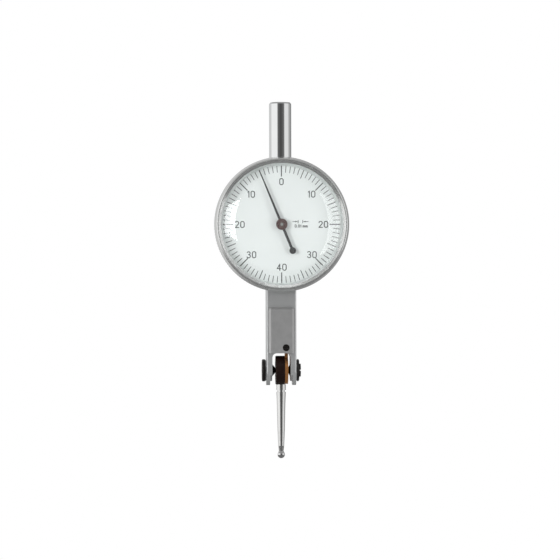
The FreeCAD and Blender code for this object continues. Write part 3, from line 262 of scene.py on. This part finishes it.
BRONZE = finish("bronze", (0.62, 0.28, 0.10), metallic=0.8, rough=0.34, spread=0.12, grain=7000,
                stretch=ALONG_Z, bump=0.16, spots=0.2)
STEEL = finish("steel", (0.64, 0.64, 0.65), rough=0.24, spread=0.05, grain=8000, bump=0.12)
ARBOR = finish("arbor_steel", (0.20, 0.21, 0.20), metallic=0.7, rough=0.38, spread=0.10, grain=8000,
               bump=0.10)
SPRING = finish("spring_bronze", (0.66, 0.48, 0.24), rough=0.25, spread=0.08, bump=0.08)
RUBY = finish("ruby", (0.45, 0.02, 0.06), metallic=0.0, rough=0.08, spread=0.10, bump=0.03, coat=0.6)
BALL = finish("bright_ball", (0.82, 0.82, 0.82), rough=0.10, rough_spread=0.04, spread=0.03, bump=0.04)
GLASS = clear_glass("crystal_clear")

DRESS = {
    "stem": BRIGHT, "case_body": CASE, "back_cover": CASE, "back_cover_screws": STEEL,
    "neck_cover": COVER, "cover_screw": BLACK, "limit_pins": STEEL, "bezel": BEZEL,
    "bezel_spring": STEEL, "crystal": GLASS,
    "rehaut_ring": REHAUT, "dial_plate": DIAL, "movement_plate": BRASS, "movement_screws": STEEL,
    "centre_cock": BRASS, "crown_cock_left": BRASS, "crown_cock_right": BRASS, "cock_screws": STEEL,
    "jewels": RUBY, "crown_wheel": BRASS, "crown_arbor": STEEL, "centre_pinion": ARBOR, "pointer": NEEDLE,
    "pointer_hub": HUB, "hairspring_collet": BRASS, "hairspring": SPRING, "hairspring_stud": BRASS,
    "sector_lever": BRONZE, "sector_gear": STEEL, "sector_rivets": BRASS, "lever_hub": STEEL,
    "friction_washer": SPRING, "stylus_holder": HOLDER, "stylus": GROUND, "contact_ball": BALL,
    "pivot_screw_left": BLACK, "pivot_screw_right": BLACK, "pivot_washers": STEEL, "lock_disc_left": BLACK,
    "lock_disc_right": BLACK,
}
for node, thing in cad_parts.items():
    dress = DRESS[node]
    if not thing.material_slots:
        thing.data.materials.append(dress)
    for held in thing.material_slots:
        held.material = dress

# ------------------------------------------------------------------ dial print

DIVISIONS = 80
TICK_OUTER = 15.55 * MM
TICKS = {10: (2.8 * MM, 0.25 * MM), 5: (2.35 * MM, 0.20 * MM), 1: (1.75 * MM, 0.17 * MM)}
INK_HEIGHT = 0.012 * MM
LAYER_STEP = 0.0004 * MM
LAYERS = 7
dial_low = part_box("dial_plate")[0]
DIAL_FACE = dial_low.y


class Print:
    """Thin raised shapes on the dial's face: x to the right and z up as one looks at the dial."""

    def __init__(self):
        self.mesh = bmesh.new()
        self.layer = 0

    def next_top(self):
        """Strokes that cross lie at slightly different heights."""
        top = DIAL_FACE - INK_HEIGHT - self.layer * LAYER_STEP
        self.layer = (self.layer + 1) % LAYERS
        return top

    def plate(self, corners):
        top = self.next_top()
        front = [self.mesh.verts.new((x, top, DIAL_Z + z)) for x, z in corners]
        rear = [self.mesh.verts.new((x, DIAL_FACE, DIAL_Z + z)) for x, z in corners]
        self.mesh.faces.new(front)
        self.mesh.faces.new(list(reversed(rear)))
        for i in range(len(corners)):
            j = (i + 1) % len(corners)
            self.mesh.faces.new((front[i], rear[i], rear[j], front[j]))

    def bar(self, start, end, width):
        a, b = Vector(start), Vector(end)
        side = (b - a).normalized().orthogonal() * width / 2
        self.plate([tuple(a + side), tuple(a - side), tuple(b - side), tuple(b + side)])

    def stroke(self, points, width, closed=False):
        """A ribbon along the points, with round ends unless it closes on itself."""
        points = [Vector(p) for p in points]
        count = len(points)
        sides = []
        for i, p in enumerate(points):
            before = points[i - 1] if i or closed else p
            after = points[(i + 1) % count] if i < count - 1 or closed else p
            way = (after - before).normalized()
            sides.append(Vector((-way.y, way.x)) * width / 2)
        left = [p + s for p, s in zip(points, sides)]
        right = [p - s for p, s in zip(points, sides)]
        if closed:
            top = self.next_top()
            rings = [[self.mesh.verts.new((v.x, y, DIAL_Z + v.y)) for v in loop]
                     for loop, y in ((left, top), (right, top), (right, DIAL_FACE), (left, DIAL_FACE))]
            for k in range(4):
                one, two = rings[k], rings[(k + 1) % 4]
                for i in range(count):
                    j = (i + 1) % count
                    self.mesh.faces.new((one[i], one[j], two[j], two[i]))
            return
        outline = list(left)
        outline += self.cap(points[-1], sides[-1])
        outline += list(reversed(right))
        outline += self.cap(points[0], -sides[0])
        self.plate([tuple(v) for v in outline])

    @staticmethod
    def cap(centre, side, steps=6):
        turn = [-math.pi * i / steps for i in range(1, steps)]
        return [centre + Matrix.Rotation(a, 2) @ side for a in turn]

    def piece(self, name):
        bmesh.ops.recalc_face_normals(self.mesh, faces=self.mesh.faces)
        data = bpy.data.meshes.new(name)
        self.mesh.to_mesh(data)
        self.mesh.free()
        data.materials.append(INK)
        thing = bpy.data.objects.new(name, data)
        bpy.context.collection.objects.link(thing)
        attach(thing, "bezel_set")


def arc(cx, cz, rx, rz, start, end, steps=14):
    angles = [math.radians(start + (end - start) * i / steps) for i in range(steps + 1)]
    return [(cx + rx * math.cos(a), cz + rz * math.sin(a)) for a in angles]


# Each glyph's width and its strokes, open or closed, centred. A digit is 1.75 high at its strokes' middles.
GLYPHS = {
    "0": (1.0, [(arc(0, 0.42, 0.5, 0.455, 0, 180)[:-1] + arc(0, -0.42, 0.5, 0.455, 180, 360)[:-1]
                 + [(0.5, -0.42 + 0.84 * i / 5) for i in range(1, 5)], True)]),
    "1": (0.34, [([(0.1, 0.875), (0.1, -0.875)], False), ([(0.1, 0.875), (-0.22, 0.60)], False)]),
    "2": (1.0, [(arc(0, 0.395, 0.47, 0.48, 170, -28) + [(-0.48, -0.875)], False),
                ([(-0.48, -0.875), (0.5, -0.875)], False)]),
    "3": (1.0, [(arc(-0.03, 0.455, 0.44, 0.42, 155, -90), False),
                (arc(-0.03, -0.42, 0.50, 0.455, 90, -155), False)]),
    "4": (1.06, [([(0.22, 0.875), (0.22, -0.875)], False), ([(0.22, 0.875), (-0.52, -0.40)], False),
                 ([(-0.52, -0.40), (0.56, -0.40)], False)]),
    ".": (0.1, [([(0, -0.86), (0, -0.84)], False)]),
    "m": (1.35, [([(-0.65, 0.25), (-0.65, -0.875)], False),
                 (arc(-0.325, -0.05, 0.325, 0.31, 180, 0, 8) + [(0, -0.875)], False),
                 (arc(0.325, -0.05, 0.325, 0.31, 180, 0, 8) + [(0.65, -0.875)], False)]),
}


def write(print_, text, x, z, size, width, gap):
    """Writes text centred on (x, z): size is one digit's width, gap the space between digits."""
    total = sum(GLYPHS[c][0] for c in text) * size + gap * (len(text) - 1)
    at = x - total / 2
    for c in text:
        wide, strokes = GLYPHS[c]
        middle = at + wide * size / 2
        for points, closed in strokes:
            print_.stroke([(middle + px * size, z + pz * size) for px, pz in points], width, closed)
        at += wide * size + gap


marks = Print()
for i in range(DIVISIONS):
    rank = 10 if i % 10 == 0 else 5 if i % 5 == 0 else 1
    length, width = TICKS[rank]
    a = math.radians(360 * i / DIVISIONS)
    way = Vector((math.sin(a), math.cos(a)))
    marks.bar(way * TICK_OUTER, way * (TICK_OUTER - length), width)
marks.piece("dial_graduations")

DIGIT = 0.92 * MM
DIGIT_STROKE = 0.24 * MM
DIGIT_GAP = 0.50 * MM
NUMERALS = ("0", "10", "20", "30", "40", "30", "20", "10")
NUMERAL_ORBIT = 11.4 * MM
SIDE_ORBIT = 11.15 * MM
numbers = Print()
for i, text in enumerate(NUMERALS):
    a = math.radians(360 * i / len(NUMERALS))
    orbit = SIDE_ORBIT if i % 4 == 2 else NUMERAL_ORBIT
    write(numbers, text, orbit * math.sin(a), orbit * math.cos(a), DIGIT, DIGIT_STROKE, DIGIT_GAP)
numbers.piece("dial_numerals")

MARK_X, MARK_Z = 5.05 * MM, 0.75 * MM
BAR_OUT, BAR_HALF, BAR_WIDTH = 0.62 * MM, 0.42 * MM, 0.16 * MM
SHAFT_START, SHAFT_END, SHAFT_WIDTH = 0.15 * MM, 1.55 * MM, 0.14 * MM
HEAD_TIP, HEAD_BACK, HEAD_HALF = 0.12 * MM, 0.75 * MM, 0.20 * MM
CAPTION_DROP = 1.18 * MM
CAPTION_SIZE, CAPTION_STROKE = 0.38 * MM, 0.16 * MM
# The caption's words: how far right of the mark's middle each stands, and the space between its digits.
CAPTION = {"0.01": (-0.65 * MM, 0.24 * MM), "mm": (1.25 * MM, 0.20 * MM)}
unit = Print()
for side in (-1, 1):
    edge = MARK_X + side * BAR_OUT
    unit.bar((edge, MARK_Z + BAR_HALF), (edge, MARK_Z - BAR_HALF), BAR_WIDTH)
    unit.bar((edge + side * SHAFT_START, MARK_Z), (edge + side * SHAFT_END, MARK_Z), SHAFT_WIDTH)
    unit.plate([(edge + side * HEAD_TIP, MARK_Z), (edge + side * HEAD_BACK, MARK_Z + side * HEAD_HALF),
                (edge + side * HEAD_BACK, MARK_Z - side * HEAD_HALF)])
for text, (aside, gap) in CAPTION.items():
    write(unit, text, MARK_X + aside, MARK_Z - CAPTION_DROP, CAPTION_SIZE, CAPTION_STROKE, gap)
unit.piece("dial_unit_mark")

# ------------------------------------------------------------------ floor, light

FLOOR_DROP = 0.06
FLOOR_RADIUS = 0.32
FLOOR_NEAR, FLOOR_FAR = 0.08, 0.20
FLOOR_MIRRORED = 0.16
FLOOR_SIDES = 96
PAPER_SCALE = 60


def stage_floor():
    """Pale paper that fades to white away from the object and is dim in polished metal."""
    material = bpy.data.materials.new("floor_paper")
    material.use_nodes = True
    n = Nodes(material.node_tree)
    place = n.new("ShaderNodeTexCoord").outputs["Object"]
    away = n.new("ShaderNodeVectorMath", operation="LENGTH")
    n.link(place, away.inputs[0])
    paper = n.new("ShaderNodeBsdfDiffuse")
    fibre = n.noise(place, PAPER_SCALE, 3)
    n.link(n.mix(fibre, (0.86, 0.86, 0.86), (0.88, 0.88, 0.88)), paper.inputs["Color"])
    white = n.new("ShaderNodeEmission")
    path = n.new("ShaderNodeLightPath")
    seen = n.math("MAXIMUM", path.outputs["Is Camera Ray"], path.outputs["Is Transmission Ray"])
    far = n.span(away.outputs["Value"], FLOOR_NEAR, FLOOR_FAR, 0.6, 1)
    both = n.new("ShaderNodeMixShader")
    n.link(n.math("MULTIPLY", seen, far), both.inputs[0])
    n.link(paper.outputs[0], both.inputs[1])
    n.link(white.outputs[0], both.inputs[2])
    dim = n.new("ShaderNodeEmission")
    dim.inputs["Color"].default_value = (FLOOR_MIRRORED, FLOOR_MIRRORED, FLOOR_MIRRORED, 1)
    last = n.new("ShaderNodeMixShader")
    n.link(path.outputs["Is Glossy Ray"], last.inputs[0])
    n.link(both.outputs[0], last.inputs[1])
    n.link(dim.outputs[0], last.inputs[2])
    n.link(last.outputs[0], n.new("ShaderNodeOutputMaterial").inputs["Surface"])
    mesh = bmesh.new()
    bmesh.ops.create_circle(mesh, cap_ends=True, segments=FLOOR_SIDES, radius=FLOOR_RADIUS)
    data = bpy.data.meshes.new("floor")
    mesh.to_mesh(data)
    mesh.free()
    data.materials.append(material)
    floor = bpy.data.objects.new("floor", data)
    floor.location = (0, 0, cad_low.z - FLOOR_DROP)
    bpy.context.collection.objects.link(floor)


stage_floor()

# What polished metal mirrors, by compass angle from straight ahead of the dial, in degrees: the dark room
# in front, a white panel on the left, a slightly darker one on the right, and paper behind.
SURROUND = [(-180, 0.62), (-112, 0.70), (-100, 1.0), (-34, 1.0), (-27, 0.16), (4, 0.07), (36, 0.16),
            (46, 0.86), (86, 0.84), (100, 0.48), (150, 0.20), (172, 0.40), (180, 0.62)]
OVERHEAD = 0.36
BENEATH = 0.16
OVERHEAD_HEIGHTS = (0.35, 0.75)
BENEATH_HEIGHTS = (-0.35, -0.60)
AMBIENT = 0.38


def studio_world():
    """White to the camera, the surround to polished metal, and an even grey to everything else."""
    world = bpy.data.worlds.new("studio")
    bpy.context.scene.world = world
    world.use_nodes = True
    world.cycles.sampling_method = "NONE"
    n = Nodes(world.node_tree)
    way = n.new("ShaderNodeTexCoord").outputs["Generated"]
    split = n.new("ShaderNodeSeparateXYZ")
    n.link(way, split.inputs[0])
    compass = n.math("ARCTAN2", split.outputs["X"], n.math("MULTIPLY", split.outputs["Y"], -1))
    turn = n.math("ADD", n.math("DIVIDE", compass, 2 * math.pi), 0.5)
    around = n.ramp(turn, [(a / 360 + 0.5, v) for a, v in SURROUND])
    height = split.outputs["Z"]
    mirrored = n.mix(n.span(height, *OVERHEAD_HEIGHTS, 0, 1), around, (OVERHEAD, OVERHEAD, OVERHEAD))
    mirrored = n.mix(n.span(height, *BENEATH_HEIGHTS, 0, 1), mirrored, (BENEATH, BENEATH, BENEATH))
    path = n.new("ShaderNodeLightPath")
    seen = n.math("MAXIMUM", path.outputs["Is Camera Ray"], path.outputs["Is Transmission Ray"])
    colour = n.mix(path.outputs["Is Glossy Ray"], (AMBIENT, AMBIENT, AMBIENT), mirrored)
    colour = n.mix(seen, colour, (1, 1, 1))
    background = n.new("ShaderNodeBackground")
    n.link(colour, background.inputs["Color"])
    n.link(background.outputs[0], n.new("ShaderNodeOutputWorld").inputs["Surface"])


studio_world()


LAMP_AIM = Vector((0, 0, -0.03))
# Each lamp's place, its panel's two sides and its power in watts.
LAMPS = {
    "key": ((-0.34, -0.56, 0.03), (0.26, 0.26), 2.5),
    "fill": ((0.42, -0.50, 0.00), (0.40, 0.40), 1.6),
    "top": ((0.0, -0.25, 0.60), (0.40, 0.30), 0.6),
    "rear": ((0.15, 0.60, 0.25), (0.40, 0.40), 1.6),
}


def lamp(name, place, size, watts):
    """A soft panel that neither the camera nor polished metal sees."""
    light = bpy.data.lights.new(name, "AREA")
    light.shape = "RECTANGLE"
    light.size, light.size_y = size
    light.energy = watts
    thing = bpy.data.objects.new(name, light)
    thing.location = place
    thing.rotation_mode = "QUATERNION"
    thing.rotation_quaternion = (LAMP_AIM - Vector(place)).to_track_quat("-Z", "Y")
    thing.visible_camera = False
    thing.visible_glossy = False
    bpy.context.collection.objects.link(thing)


for name, (place, size, watts) in LAMPS.items():
    lamp(name, place, size, watts)
